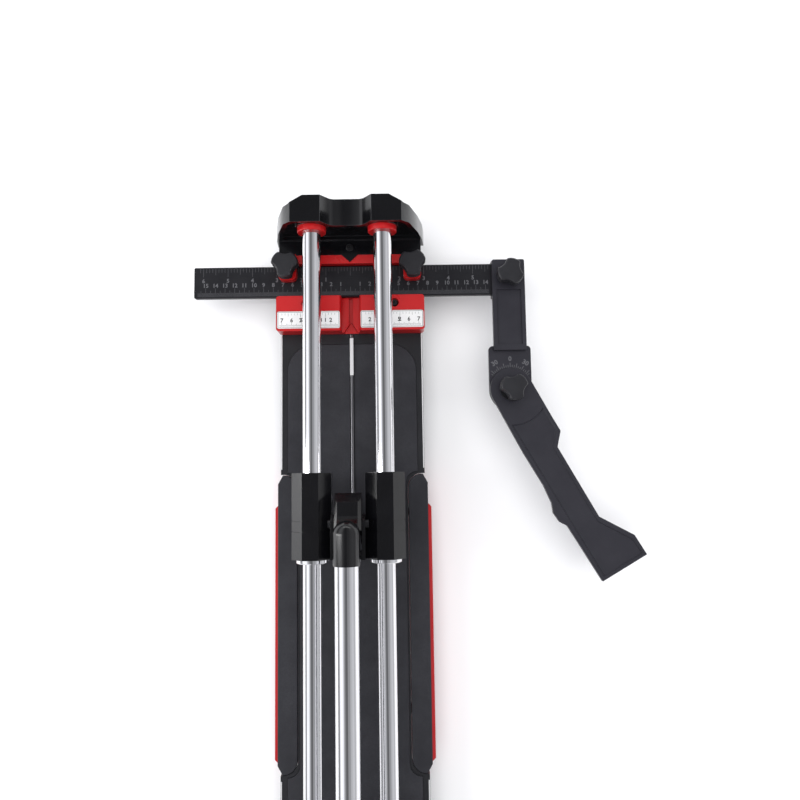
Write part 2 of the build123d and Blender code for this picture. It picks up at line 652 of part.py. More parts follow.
for name, side in SIDES.items():
    with BuildPart() as housing:
        with BuildSketch(front_plane(CARRIAGE_FRONT)):
            with Locations(Location((side * RAIL_X, RAIL_Z, 0), (0, 0, 22.5))):
                RegularPolygon(HOUSING_FLATS / 2, 8, major_radius=False)
        extrude(amount=CARRIAGE_LENGTH)
        # Seam grooves round the housing
        for y in (PIVOT_Y + 4, PIVOT_Y - 6):
            with BuildSketch(front_plane(y)):
                with Locations(Location((side * RAIL_X, RAIL_Z, 0), (0, 0, 22.5))):
                    RegularPolygon(HOUSING_FLATS / 2 + 2, 8, major_radius=False)
                    RegularPolygon(HOUSING_FLATS / 2 - 0.9, 8, major_radius=False, mode=CUT)
            extrude(amount=0.9, mode=CUT)
        rod_y(side * RAIL_X, (CARRIAGE_BACK, CARRIAGE_FRONT), RAIL_Z, RAIL_RADIUS + 1.5, mode=CUT)
        for y_span in BUSH_SPANS:
            rod_y(side * RAIL_X, y_span, RAIL_Z, BUSH_RADIUS, mode=CUT)
        rod_x((side * (HOUSING_IN - 1), side * (HOUSING_IN + PIN_SEAT)), PIVOT_Y, PIVOT_Z, PIVOT_PIN_RADIUS,
              mode=CUT)
        for y, z in SCREW_SEATS:
            rod_x((side * (HOUSING_IN - 1), side * (HOUSING_IN + 4)), y, z, 1.5, mode=CUT)
    finish(housing, f"{name}_housing")

    with BuildPart() as bushes:
        for y_span in BUSH_SPANS:
            rod_y(side * RAIL_X, y_span, RAIL_Z, BUSH_RADIUS)
            rod_y(side * RAIL_X, y_span, RAIL_Z, RAIL_RADIUS + FIT, mode=CUT)
    finish(bushes, f"{name}_bushes")

with BuildPart() as end_rings:
    for x in (-RAIL_X, RAIL_X):
        rod_y(x, (CARRIAGE_BACK - RING_THICKNESS, CARRIAGE_BACK), RAIL_Z, RING_RADIUS)
        rod_y(x, (CARRIAGE_BACK - RING_THICKNESS, CARRIAGE_BACK), RAIL_Z, RAIL_RADIUS + 1, mode=CUT)
    rims = end_rings.edges().filter_by(GeomType.CIRCLE).sort_by(lambda edge: edge.radius)[-4:]
    fillet(rims.group_by(Axis.Y)[0], 1.2)
finish(end_rings, "end_rings")

with BuildPart() as carriage_bridge:
    block((-HOUSING_IN, HOUSING_IN), (CARRIAGE_BACK + 0.5, CARRIAGE_BACK + 0.5 + BRIDGE_DEPTH),
          (BRIDGE_TOP - 14, BRIDGE_TOP))
    for side in SIDES.values():
        with BuildSketch(side_plane(side * HOUSING_IN)):
            with BuildLine():
                Polyline(
                    (CARRIAGE_BACK + 0.5, BRIDGE_TOP), (CARRIAGE_BACK + 0.5, BRIDGE_BOTTOM + 8),
                    (CARRIAGE_BACK + 8, BRIDGE_BOTTOM), (CARRIAGE_BACK + 26, BRIDGE_BOTTOM),
                    (PIVOT_Y + 9, PIVOT_Z - 5), (PIVOT_Y + 9, PIVOT_Z + 5), (PIVOT_Y + 4, BRIDGE_TOP),
                    close=True,
                )
            make_face()
        extrude(amount=-side * BRIDGE_WALL)
        wall_span = (side * (HOUSING_IN - BRIDGE_WALL - 1), side * (HOUSING_IN + 1))
        rod_x(wall_span, PIVOT_Y, PIVOT_Z, PIVOT_PIN_RADIUS, mode=CUT)
        for y, z in SCREW_SEATS:
            rod_x((side * (HOUSING_IN - BRIDGE_WALL - 1), side * (HOUSING_IN + 1)), y, z, 1.5, mode=CUT)
finish(carriage_bridge, "carriage_bridge")

with BuildPart() as bridge_screws:
    for side in SIDES.values():
        for y, z in SCREW_SEATS:
            inner = HOUSING_IN - BRIDGE_WALL
            rod_x((side * inner, side * (HOUSING_IN + 4)), y, z, 1.5)
            rod_x((side * (inner - 1.6), side * inner), y, z, 3)
finish(bridge_screws, "bridge_screws")

with BuildPart() as pivot_pin:
    rod_x((-HOUSING_IN - PIN_SEAT, HOUSING_IN + PIN_SEAT), PIVOT_Y, PIVOT_Z, PIVOT_PIN_RADIUS)
finish(pivot_pin, "pivot_pin")

with BuildPart() as bumper:
    block((-8, 8), (CARRIAGE_BACK + 1.5, CARRIAGE_BACK + BRIDGE_DEPTH - 0.5),
          (BRIDGE_TOP, BRIDGE_TOP + BUMPER_THICKNESS))
    fillet(bumper.edges().group_by(Axis.Z)[-1], 1)
finish(bumper, "bumper")

# --- Lever: hub, handle, wheel holder ---------------------------------------------------
TONGUE_BACK = PIVOT_Y + 13.5
TONGUE_TOP = HUB_BOTTOM_Z + 10
HOLDER_SCREW = (TONGUE_BACK + 5.5, HUB_BOTTOM_Z + 5)
NOSE_TOP = PIVOT_Z + 12

with BuildPart() as lever_hub:
    with BuildSketch(side_plane(0)) as nose:
        with BuildLine():
            Polyline(
                (PIVOT_Y, HUB_BOTTOM_Z), (NOSE_END - 4, HUB_BOTTOM_Z), (NOSE_END, HUB_BOTTOM_Z + 4),
                (NOSE_END, NOSE_TOP - 9), (NOSE_END - 8, NOSE_TOP), (PIVOT_Y - 4, NOSE_TOP + 3),
                (PIVOT_Y - HUB_BOSS_RADIUS, PIVOT_Z), close=True,
            )
        make_face()
    extrude(amount=HUB_HALF, both=True)
    rod_x((-HUB_HALF, HUB_HALF), PIVOT_Y, PIVOT_Z, HUB_BOSS_RADIUS)
    chamfer(lever_hub.faces().filter_by(Axis.X).edges().filter_by(GeomType.LINE).group_by(Axis.Z)[-1], 3)
    # Web up to the handle socket
    with BuildSketch(side_plane(0)):
        with BuildLine():
            Polyline(
                (SOCKET_END + 12, HANDLE_Z - 8), (SOCKET_END + 20, NOSE_TOP + 1),
                (PIVOT_Y - 4, NOSE_TOP - 6), (PIVOT_Y + 10, NOSE_TOP - 2),
                (SOCKET_DOME + 9, HANDLE_Z - 4), (SOCKET_DOME, HANDLE_Z),
                close=True,
            )
        make_face()
    extrude(amount=SOCKET_RADIUS - 3, both=True)
    rod_y(0, (SOCKET_END, SOCKET_DOME), HANDLE_Z, SOCKET_RADIUS)
    with Locations((0, SOCKET_DOME, HANDLE_Z)):
        Sphere(SOCKET_RADIUS)
    # Bores for the tube, the pivot pin, the holder's tongue and its screw
    rod_y(0, (SOCKET_END - 1, SOCKET_DOME - 3), HANDLE_Z, HANDLE_RADIUS + FIT, mode=CUT)
    rod_x((-HUB_HALF - 1, HUB_HALF + 1), PIVOT_Y, PIVOT_Z, PIVOT_PIN_RADIUS + FIT, mode=CUT)
    tongue_half = HOLDER_HALF + FIT
    block(
        (-tongue_half, tongue_half), (TONGUE_BACK - FIT, NOSE_END + 1),
        (HUB_BOTTOM_Z - 1, TONGUE_TOP + FIT), mode=CUT,
    )
    rod_x((-HUB_HALF - 1, HUB_HALF + 1), *HOLDER_SCREW, SCREW_RADIUS, mode=CUT)
    rod_x((HUB_HALF - 2.5, HUB_HALF + 1), *HOLDER_SCREW, SCREW_RADIUS + 1.5, mode=CUT)
    rod_x((0, SOCKET_RADIUS + 1), SOCKET_END + 10, HANDLE_Z, 2, mode=CUT)
finish(lever_hub, "lever_hub")

with BuildPart() as socket_screw:
    rod_x((HANDLE_RADIUS, SOCKET_RADIUS - 0.1), SOCKET_END + 10, HANDLE_Z, 2)
finish(socket_screw, "socket_screw")

with BuildPart() as handle_tube:
    rod_y(0, (HANDLE_END, SOCKET_DOME - 3), HANDLE_Z, HANDLE_RADIUS)
    rod_y(0, (HANDLE_END - 1, SOCKET_DOME - 2), HANDLE_Z, HANDLE_RADIUS - HANDLE_WALL, mode=CUT)
finish(handle_tube, "handle_tube")

with BuildPart() as handle_grip:
    rod_y(0, (HANDLE_END, HANDLE_END + GRIP_LENGTH), HANDLE_Z, GRIP_RADIUS)
    for number in range(1, 12):
        groove = HANDLE_END + GRIP_LENGTH * number / 12
        with Locations(Location((0, groove, HANDLE_Z), (90, 0, 0))):
            Torus(GRIP_RADIUS + 0.8, 1.8, mode=CUT)
    rod_y(0, (HANDLE_END, HANDLE_END + GRIP_LENGTH), HANDLE_Z, HANDLE_RADIUS + FIT, mode=CUT)
finish(handle_grip, "handle_grip")

with BuildPart() as handle_cap:
    rod_y(0, (HANDLE_END - 5, HANDLE_END), HANDLE_Z, GRIP_RADIUS)
    fillet(handle_cap.edges().filter_by(GeomType.CIRCLE).group_by(Axis.Y)[0], 3)
    rod_y(0, (HANDLE_END, HANDLE_END + 16), HANDLE_Z, HANDLE_RADIUS - HANDLE_WALL - FIT)
finish(handle_cap, "handle_cap")

with BuildPart() as wheel_holder:
    with BuildSketch(side_plane(0)):
        with BuildLine():
            Polyline(
                (TONGUE_BACK, TONGUE_TOP), (TONGUE_BACK, HUB_BOTTOM_Z), (PIVOT_Y + 2, HUB_BOTTOM_Z - 0.5),
                (FOOT_PIN_Y - 6, FOOT_PIN_Z), (FOOT_PIN_Y, FOOT_PIN_Z - 6), (WHEEL_Y, WHEEL_Z - 7.5),
                (WHEEL_Y + 7.5, WHEEL_Z), (NOSE_END - 4, HUB_BOTTOM_Z - 12), (NOSE_END - 4, TONGUE_TOP),
                close=True,
            )
        make_face()
        with Locations((FOOT_PIN_Y, FOOT_PIN_Z)):
            Circle(6)
        with Locations((WHEEL_Y, WHEEL_Z)):
            Circle(7.5)
    extrude(amount=HOLDER_HALF, both=True)
    slot_half = WHEEL_THICKNESS / 2 + 0.4
    rod_x((-slot_half, slot_half), WHEEL_Y, WHEEL_Z, WHEEL_RADIUS + 1.5, mode=CUT)
    block((-slot_half, slot_half), (WHEEL_Y - WHEEL_RADIUS - 1.5, WHEEL_Y + WHEEL_RADIUS + 1.5),
          (WHEEL_Z - WHEEL_RADIUS - 2, WHEEL_Z), mode=CUT)
    rod_x((-HOLDER_HALF, HOLDER_HALF), WHEEL_Y, WHEEL_Z, AXLE_RADIUS, mode=CUT)
    rod_x((-HOLDER_HALF, HOLDER_HALF), FOOT_PIN_Y, FOOT_PIN_Z, FOOT_PIN_RADIUS, mode=CUT)
    rod_x((-HOLDER_HALF, HOLDER_HALF), *HOLDER_SCREW, SCREW_RADIUS, mode=CUT)
finish(wheel_holder, "wheel_holder")

with BuildPart() as holder_screw:
    rod_x((-HUB_HALF, HUB_HALF - 2.5), *HOLDER_SCREW, SCREW_RADIUS)
    rod_x((HUB_HALF - 2.5, HUB_HALF - 0.3), *HOLDER_SCREW, SCREW_RADIUS + 1.4)
finish(holder_screw, "holder_screw")

with BuildPart() as wheel_axle:
    rod_x((-HOLDER_HALF - 1.4, HOLDER_HALF + 1.4), WHEEL_Y, WHEEL_Z, AXLE_RADIUS)
    rod_x((HOLDER_HALF, HOLDER_HALF + 1.4), WHEEL_Y, WHEEL_Z, AXLE_RADIUS + 1.4)
    rod_x((-HOLDER_HALF - 1.4, -HOLDER_HALF), WHEEL_Y, WHEEL_Z, AXLE_RADIUS + 1.4)
finish(wheel_axle, "wheel_axle")

with BuildPart() as scoring_wheel:
    with BuildSketch(Plane(origin=(0, WHEEL_Y, WHEEL_Z))):
        with BuildLine():
            flat_radius = WHEEL_RADIUS - WHEEL_THICKNESS * 0.85
            Polyline(
                (-WHEEL_THICKNESS / 2, AXLE_RADIUS + FIT), (-WHEEL_THICKNESS / 2, flat_radius),
                (0, WHEEL_RADIUS), (WHEEL_THICKNESS / 2, flat_radius),
                (WHEEL_THICKNESS / 2, AXLE_RADIUS + FIT), close=True,
            )
        make_face()
    revolve(axis=Axis((0, WHEEL_Y, WHEEL_Z), (1, 0, 0)))
finish(scoring_wheel, "scoring_wheel")

# --- Breaker foot -----------------------------------------------------------------------
EAR_IN = HOLDER_HALF + 0.7
EAR_OUT = EAR_IN + 3.8
FOOT_BACK = FOOT_PIN_Y - BREAKER_DEPTH / 2 - 0.25
FOOT_FRONT = FOOT_BACK + BREAKER_DEPTH
FOOT_TOP = FOOT_PIN_Z - BREAKER_DROP
FOOT_BOTTOM = FOOT_TOP - BREAKER_THICKNESS

with BuildPart() as foot_pin:
    rod_x((-EAR_OUT - 1, EAR_OUT + 1), FOOT_PIN_Y, FOOT_PIN_Z, FOOT_PIN_RADIUS)
finish(foot_pin, "foot_pin")

with BuildPart() as breaker_foot:
    with BuildSketch(Plane.XY.offset(FOOT_BOTTOM)):
        with BuildLine():
            Polyline(
                (-BREAKER_HALF, FOOT_BACK + 4), (-12, FOOT_BACK),
                (12, FOOT_BACK), (BREAKER_HALF, FOOT_BACK + 4),
                (BREAKER_HALF, FOOT_FRONT - 4), (12, FOOT_FRONT),
                (-12, FOOT_FRONT), (-BREAKER_HALF, FOOT_FRONT - 4), close=True,
            )
        make_face()
        with Locations((0, FOOT_PIN_Y - 6.5 + 10)):
            Rectangle(2 * EAR_IN, 20, mode=CUT)
        with Locations((0, FOOT_PIN_Y + 5 + 10)):
            Rectangle(2 * EAR_IN + 4.6, 20, mode=CUT)
    extrude(amount=BREAKER_THICKNESS)
    for side in SIDES.values():
        block((side * EAR_IN, side * EAR_OUT), (FOOT_PIN_Y - 5, FOOT_PIN_Y + 5), (FOOT_BOTTOM, FOOT_PIN_Z))
        rod_x((side * EAR_IN, side * EAR_OUT), FOOT_PIN_Y, FOOT_PIN_Z, 6)
        rod_x((side * EAR_IN, side * EAR_OUT), FOOT_PIN_Y, FOOT_PIN_Z, FOOT_PIN_RADIUS + FIT, mode=CUT)
finish(breaker_foot, "breaker_foot")

with BuildPart() as breaker_pads:
    for side in SIDES.values():
        block((side * 14, side * (BREAKER_HALF - 2)), (FOOT_BACK + 5, FOOT_FRONT - 5),
              (FOOT_BOTTOM - BREAKER_PAD, FOOT_BOTTOM))
finish(breaker_pads, "breaker_pads")

# --- Angle arm --------------------------------------------------------------------------
LINK_SPAN = (LINK_X - LINK_WIDTH / 2, LINK_X + LINK_WIDTH / 2)
LINK_TOP = LINK_Z + LINK_THICKNESS
LIP = 2.4

with BuildPart() as arm_link:
    block(LINK_SPAN, (LINK_FRONT, LINK_BACK), (LINK_Z, LINK_TOP))
    fillet(arm_link.edges().filter_by(Axis.Z).group_by(Axis.Y)[-1], 2)
    # Channel down the middle of the link, short of the clamp
    block(
        (LINK_SPAN[0] + 4, LINK_SPAN[1] - 4), (LINK_FRONT + 6, LINK_KNOB_Y - 14),
        (LINK_TOP - 2, LINK_TOP), mode=CUT,
    )
    # Protractor head, one step lower
    with BuildSketch(Plane.XY.offset(HEAD_Z)) as head:
        with Locations((ANGLE_PIVOT_X, (ANGLE_PIVOT_Y + HEAD_BACK) / 2)):
            Rectangle(HEAD_WIDTH, HEAD_BACK - ANGLE_PIVOT_Y)
        fillet(head.vertices().group_by(Axis.Y)[-1], 4)
        with Locations((ANGLE_PIVOT_X, ANGLE_PIVOT_Y)):
            Circle(HEAD_WIDTH / 2)
    extrude(amount=HEAD_THICKNESS)
    # Lips down both edges of the ruler
    block(LINK_SPAN, (RULER_FRONT - FLOAT - LIP, RULER_FRONT - FLOAT), (RULER_Z, LINK_Z))
    block(LINK_SPAN, (RULER_BACK + FLOAT, LINK_BACK), (RULER_Z, LINK_Z))
    rod_z(LINK_X, LINK_KNOB_Y, (LINK_Z - 1, LINK_TOP + 1), STUD_RADIUS + FIT, mode=CUT)
    rod_z(ANGLE_PIVOT_X, ANGLE_PIVOT_Y, (HEAD_Z - 1, HEAD_Z + HEAD_THICKNESS + 1), STUD_RADIUS + FIT,
          mode=CUT)
finish(arm_link, "arm_link")

with BuildPart() as arm_keeper:
    block(LINK_SPAN, (RULER_FRONT - FLOAT - LIP, LINK_BACK), (RULER_Z - FLOAT - 3, RULER_Z - FLOAT))
    block(LINK_SPAN, (RULER_FRONT - FLOAT - LIP, RULER_FRONT - FLOAT), (RULER_Z - FLOAT, RULER_Z))
    block(LINK_SPAN, (RULER_BACK + FLOAT, LINK_BACK), (RULER_Z - FLOAT, RULER_Z))
finish(arm_keeper, "arm_keeper")

with BuildPart() as arm_knob:
    knob(LINK_X, LINK_KNOB_Y, LINK_TOP + FLOAT, RULER_TOP_Z + FLOAT, turn=15)
finish(arm_knob, "arm_knob")

BLADE_SIN, BLADE_COS = math.sin(math.radians(BLADE_ANGLE)), math.cos(math.radians(BLADE_ANGLE))
# Along the blade from its pivot, then across it, outwards positive
BLADE_OUTLINE = [
    (0, BLADE_HEAD_RADIUS),
    (BLADE_LENGTH * 0.21, 19.5),
    (BLADE_LENGTH * 0.295, 19),
    (BLADE_LENGTH * 0.352, 7.5),
    (BLADE_LENGTH * 0.733, 5),
    (BLADE_LENGTH * 0.893, 25),
    (BLADE_LENGTH, 25),
    (BLADE_LENGTH - 1, -27),
    (BLADE_LENGTH * 0.69, -27),
    (BLADE_LENGTH * 0.655, -31.5),
    (BLADE_LENGTH * 0.605, -32),
    (BLADE_LENGTH * 0.56, -28),
    (BLADE_LENGTH * 0.47, -25.5),
    (BLADE_LENGTH * 0.29, -25),
    (0, -BLADE_HEAD_RADIUS),
]


def blade_plane(height):
    """A level plane at the blade's pivot, with its own X along the blade."""
    return Plane(origin=(ANGLE_PIVOT_X, ANGLE_PIVOT_Y, height), x_dir=(BLADE_SIN, -BLADE_COS, 0))


with BuildPart() as angle_blade:
    with BuildSketch(blade_plane(BLADE_Z)) as outline:
        with BuildLine():
            Polyline(*BLADE_OUTLINE, close=True)
        make_face()
        Circle(BLADE_HEAD_RADIUS)
    extrude(amount=BLADE_THICKNESS)
    # Shallow panel inside a rim, hollowed round the blade's head
    with BuildSketch(blade_plane(BLADE_Z + BLADE_THICKNESS)):
        with BuildLine():
            Polyline(
                (BLADE_PANEL_START - 12, 16.5), (BLADE_LENGTH * 0.28, 15.5), (BLADE_LENGTH * 0.34, 4),
                (BLADE_LENGTH * 0.75, 1.5), (BLADE_LENGTH * 0.91, 21.5), (BLADE_LENGTH - BLADE_RIM, 21.5),
                (BLADE_LENGTH - BLADE_RIM - 1, -23), (BLADE_PANEL_START - 12, -19.5), close=True,
            )
        make_face()
        Circle(BLADE_PANEL_START, mode=CUT)
    extrude(amount=-BLADE_RECESS, mode=CUT)
    rod_z(ANGLE_PIVOT_X, ANGLE_PIVOT_Y, (BLADE_Z - 1, BLADE_Z + BLADE_THICKNESS + 1), STUD_RADIUS + FIT,
          mode=CUT)
finish(angle_blade, "angle_blade")

WASHER_THICKNESS = 1.2
WASHER_Z = BLADE_Z + BLADE_THICKNESS
with BuildPart() as pivot_washer:
    z_span = (WASHER_Z, WASHER_Z + WASHER_THICKNESS)
    rod_z(ANGLE_PIVOT_X, ANGLE_PIVOT_Y, z_span, 12)
    rod_z(ANGLE_PIVOT_X, ANGLE_PIVOT_Y, z_span, STUD_RADIUS + FIT, mode=CUT)
finish(pivot_washer, "pivot_washer")

with BuildPart() as angle_knob:
    knob(ANGLE_PIVOT_X, ANGLE_PIVOT_Y, WASHER_Z + WASHER_THICKNESS + FLOAT, HEAD_Z + 0.5, turn=100)
finish(angle_knob, "angle_knob")
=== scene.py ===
"""Manual tile cutter: the looks of every piece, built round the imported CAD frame. Lengths are in metres."""

import json
import math

import bmesh
import bpy
from mathutils import Matrix, Vector


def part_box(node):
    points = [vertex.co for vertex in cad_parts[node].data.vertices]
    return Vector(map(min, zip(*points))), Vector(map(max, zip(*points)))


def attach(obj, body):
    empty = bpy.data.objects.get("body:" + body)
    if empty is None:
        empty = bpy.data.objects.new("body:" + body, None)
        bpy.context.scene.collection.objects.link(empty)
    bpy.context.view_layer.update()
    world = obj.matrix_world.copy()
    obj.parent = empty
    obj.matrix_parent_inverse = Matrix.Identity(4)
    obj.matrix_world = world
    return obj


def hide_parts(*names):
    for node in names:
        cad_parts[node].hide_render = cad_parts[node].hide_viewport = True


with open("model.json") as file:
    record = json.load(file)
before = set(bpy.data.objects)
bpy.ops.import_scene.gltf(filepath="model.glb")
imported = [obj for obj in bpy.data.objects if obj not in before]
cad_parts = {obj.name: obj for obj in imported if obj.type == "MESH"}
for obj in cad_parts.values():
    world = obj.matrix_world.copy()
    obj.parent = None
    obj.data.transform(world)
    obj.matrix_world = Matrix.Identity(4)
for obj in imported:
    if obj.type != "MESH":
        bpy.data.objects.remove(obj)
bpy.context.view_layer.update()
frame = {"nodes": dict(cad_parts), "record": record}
scene = bpy.context.scene

# ---- Studio --------------------------------------------------------------------------------
# A pale floor under soft light from all round. The sky has a bright bank on the left, a broad
# dimmer one on the right and a dark gap overhead, which the chromed rails show as lines.
scene.view_settings.view_transform = "Standard"

camera_data = bpy.data.cameras.new("camera")
camera_data.lens = 32.9
camera_data.sensor_width = 36.0
camera = bpy.data.objects.new("camera", camera_data)
camera.location = (0.0486, 0.150, 0.796)
camera.rotation_euler = (math.radians(5.6), 0.0, math.radians(-0.83))
scene.collection.objects.link(camera)
scene.camera = camera

world = bpy.data.worlds.new("studio")
world.use_nodes = True
sky_nodes, sky_links = world.node_tree.nodes, world.node_tree.links
sky_way = sky_nodes.new("ShaderNodeTexCoord")
sky_axes = sky_nodes.new("ShaderNodeSeparateXYZ")
sky_links.new(sky_way.outputs["Generated"], sky_axes.inputs["Vector"])
sky_tilt = sky_nodes.new("ShaderNodeMath")
sky_tilt.operation = "ARCTAN2"
sky_links.new(sky_axes.outputs["X"], sky_tilt.inputs[0])
sky_links.new(sky_axes.outputs["Z"], sky_tilt.inputs[1])
sky_share = sky_nodes.new("ShaderNodeMapRange")
sky_share.inputs["From Min"].default_value = -math.pi / 2
sky_share.inputs["From Max"].default_value = math.pi / 2
sky_links.new(sky_tilt.outputs["Value"], sky_share.inputs["Value"])
sky_bands = sky_nodes.new("ShaderNodeValToRGB")
sky_links.new(sky_share.outputs["Result"], sky_bands.inputs["Fac"])
sky_links.new(sky_bands.outputs["Color"], sky_nodes["Background"].inputs["Color"])
# Seen directly, the room beyond the floor is plain and pale
room = sky_nodes.new("ShaderNodeBackground")
room.inputs["Color"].default_value = (0.93, 0.93, 0.94, 1.0)
sight = sky_nodes.new("ShaderNodeLightPath")
sky_mix = sky_nodes.new("ShaderNodeMixShader")
sky_links.new(sight.outputs["Is Camera Ray"], sky_mix.inputs["Fac"])
sky_links.new(sky_nodes["Background"].outputs["Background"], sky_mix.inputs[1])
sky_links.new(room.outputs["Background"], sky_mix.inputs[2])
sky_links.new(sky_mix.outputs["Shader"], sky_nodes["World Output"].inputs["Surface"])
# Brightness of the sky at each tilt in degrees, from the left horizon (-90) to the right one (90)
SKY = [(-90, 0.30), (-76, 0.34), (-62, 1.25), (-40, 1.15), (-24, 0.42), (-10, 0.17), (3, 0.13), (12, 0.36),
       (24, 0.34), (34, 0.52), (60, 0.66), (80, 0.50), (90, 0.30)]
bands = sky_bands.color_ramp
bands.interpolation = "EASE"
ends = {-90: bands.elements[0], 90: bands.elements[-1]}
for tilt, level in SKY:
    stop = ends[tilt] if tilt in ends else bands.elements.new((tilt + 90) / 180)
    stop.color = (level * 0.97, level * 0.98, level * 1.02, 1.0)
scene.world = world


def soft_light(name, place, aim, size, power, shows=True):
    """A rectangular soft box at place, facing aim; shows tells if gloss mirrors it."""
    data = bpy.data.lights.new(name, "AREA")
    data.shape = "RECTANGLE"
    data.size, data.size_y = size
    data.energy = power
    light = bpy.data.objects.new(name, data)
    light.location = place
    direction = Vector(aim) - Vector(place)
    light.rotation_euler = direction.to_track_quat("-Z", "Y").to_euler()
    light.visible_glossy = shows
    scene.collection.objects.link(light)


# A broad light straight from above, even over the whole floor, which gloss doesn't mirror
overhead_data = bpy.data.lights.new("overhead_fill", "SUN")
overhead_data.energy = 1.95
overhead_data.angle = math.radians(60.0)
overhead = bpy.data.objects.new("overhead_fill", overhead_data)
overhead.location = (0.0, 0.1, 2.6)
overhead.visible_glossy = False
scene.collection.objects.link(overhead)
soft_light("left_strip_light", (-1.9, 0.1, 0.9), (0.0, 0.05, 0.05), (0.16, 2.4), 17.0)
soft_light("right_strip_light", (1.9, 0.3, 1.3), (0.0, 0.05, 0.05), (0.16, 2.2), 6.0, shows=False)
soft_light("back_strip_light", (0.2, 2.3, 1.0), (0.0, 0.1, 0.05), (2.2, 0.16), 6.0)


def principled(name):
    """A new material and its Principled BSDF."""
    material = bpy.data.materials.new(name)
    material.use_nodes = True
    return material, material.node_tree.nodes["Principled BSDF"]


FLOOR_SIDE = 24.0
form = bmesh.new()
bmesh.ops.create_grid(form, x_segments=1, y_segments=1, size=FLOOR_SIDE / 2)
mesh = bpy.data.meshes.new("floor")
form.to_mesh(mesh)
form.free()
floor = bpy.data.objects.new("floor", mesh)
scene.collection.objects.link(floor)
floor_finish, floor_shader = principled("floor_finish")
floor_shader.inputs["Base Color"].default_value = (0.93, 0.93, 0.94, 1.0)
floor_shader.inputs["Roughness"].default_value = 0.9
mesh.materials.append(floor_finish)

# ---- Bed -------------------------------------------------------------------------------------
# A powder-coated plate carries two rubber mats in shallow pockets and the bright breaker bar
# between them. Bright strips painted along its long edges are painted highlights. Two bars and a crossmember
# stiffen it from below, on rubber feet held by screws.
body_of = {node: body for body, nodes in frame["record"]["behaviour"]["bodies"].items() for node in nodes}


def new_group(name, inputs, outputs):
    """A shader node group with named inputs (name, default) and outputs (name, kind)."""
    group = bpy.data.node_groups.new(name, "ShaderNodeTree")
    for label, default in inputs:
        kind = "NodeSocketVector" if default is None else "NodeSocketFloat"
        socket = group.interface.new_socket(label, in_out="INPUT", socket_type=kind)
        if default is not None:
            socket.default_value = default
    for label in outputs:
        group.interface.new_socket(label, in_out="OUTPUT", socket_type="NodeSocketFloat")
    return group, group.nodes.new("NodeGroupInput"), group.nodes.new("NodeGroupOutput")


# Grain: the fine skin of powder coat, moulded plastic or rubber, as height and as a mask
grain, grain_in, grain_out = new_group(
    "grain", [("Position", None), ("Size", 0.0006), ("Contrast", 1.0)], ["Height", "Mask"])
grain_scale = grain.nodes.new("ShaderNodeMath")
grain_scale.operation = "DIVIDE"
grain_scale.inputs[0].default_value = 1.0
grain.links.new(grain_in.outputs["Size"], grain_scale.inputs[1])
grain_noise = grain.nodes.new("ShaderNodeTexNoise")
grain_noise.inputs["Detail"].default_value = 2.0
grain.links.new(grain_in.outputs["Position"], grain_noise.inputs["Vector"])
grain.links.new(grain_scale.outputs[0], grain_noise.inputs["Scale"])
grain_power = grain.nodes.new("ShaderNodeMath")
grain_power.operation = "POWER"
grain.links.new(grain_noise.outputs["Fac"], grain_power.inputs[0])
grain.links.new(grain_in.outputs["Contrast"], grain_power.inputs[1])
grain.links.new(grain_noise.outputs["Fac"], grain_out.inputs["Height"])
grain.links.new(grain_power.outputs[0], grain_out.inputs["Mask"])

# Handling: broad soft patches where hands and dust have changed the gloss
handling, handling_in, handling_out = new_group(
    "handling", [("Position", None), ("Size", 0.05), ("Low", 0.3), ("High", 0.5)], ["Value"])
handling_scale = handling.nodes.new("ShaderNodeMath")
handling_scale.operation = "DIVIDE"
handling_scale.inputs[0].default_value = 1.0
handling.links.new(handling_in.outputs["Size"], handling_scale.inputs[1])
handling_noise = handling.nodes.new("ShaderNodeTexNoise")
handling_noise.inputs["Detail"].default_value = 5.0
handling_noise.inputs["Roughness"].default_value = 0.62
handling.links.new(handling_in.outputs["Position"], handling_noise.inputs["Vector"])
handling.links.new(handling_scale.outputs[0], handling_noise.inputs["Scale"])
handling_range = handling.nodes.new("ShaderNodeMapRange")
handling_range.inputs["From Min"].default_value = 0.3
handling_range.inputs["From Max"].default_value = 0.7
handling.links.new(handling_noise.outputs["Fac"], handling_range.inputs["Value"])
handling.links.new(handling_in.outputs["Low"], handling_range.inputs["To Min"])
handling.links.new(handling_in.outputs["High"], handling_range.inputs["To Max"])
handling.links.new(handling_range.outputs["Result"], handling_out.inputs["Value"])


def place_group(material, group, position, **values):
    """Put a node group in a material, fed with a position and its own values."""
    node = material.node_tree.nodes.new("ShaderNodeGroup")
    node.node_tree = group
    material.node_tree.links.new(position, node.inputs["Position"])
    for label, value in values.items():
        node.inputs[label].default_value = value
    return node


